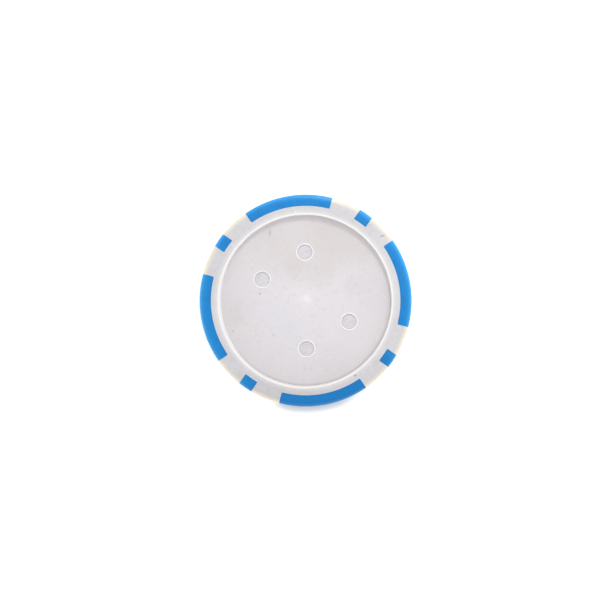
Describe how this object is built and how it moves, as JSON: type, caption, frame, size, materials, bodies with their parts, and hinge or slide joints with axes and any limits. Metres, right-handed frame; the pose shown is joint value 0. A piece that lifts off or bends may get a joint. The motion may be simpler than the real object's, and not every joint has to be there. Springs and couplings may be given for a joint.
{
  "type": "dealer button",
  "caption": "Round two-colour moulded dealer button: off-white disc with a label recess on both faces and blue edge spots, weighted with a steel slug.",
  "frame": {"origin": "centre of the back face, on the plane that the button rests on", "axes": "+Z along the disc's axis from the back face to the front face; a long blue spot is centred on each of +X, +Y, -X and -Y"},
  "size_m": [0.05, 0.05, 0.004],
  "materials": {
    "white_plastic": "cool off-white moulded ABS, semi-gloss",
    "blue_plastic": "bright sky-blue moulded ABS, semi-gloss",
    "slug_steel": "punched and zinc-plated mild steel"
  },
  "bodies": {
    "root": {"front_shell": "white_plastic", "back_shell": "white_plastic", "weight_slug": "slug_steel", "long_spot_1": "blue_plastic", "long_spot_2": "blue_plastic", "long_spot_3": "blue_plastic", "long_spot_4": "blue_plastic", "short_spot_1": "blue_plastic", "short_spot_2": "blue_plastic", "short_spot_3": "blue_plastic", "short_spot_4": "blue_plastic"}
  },
  "joints": []
}
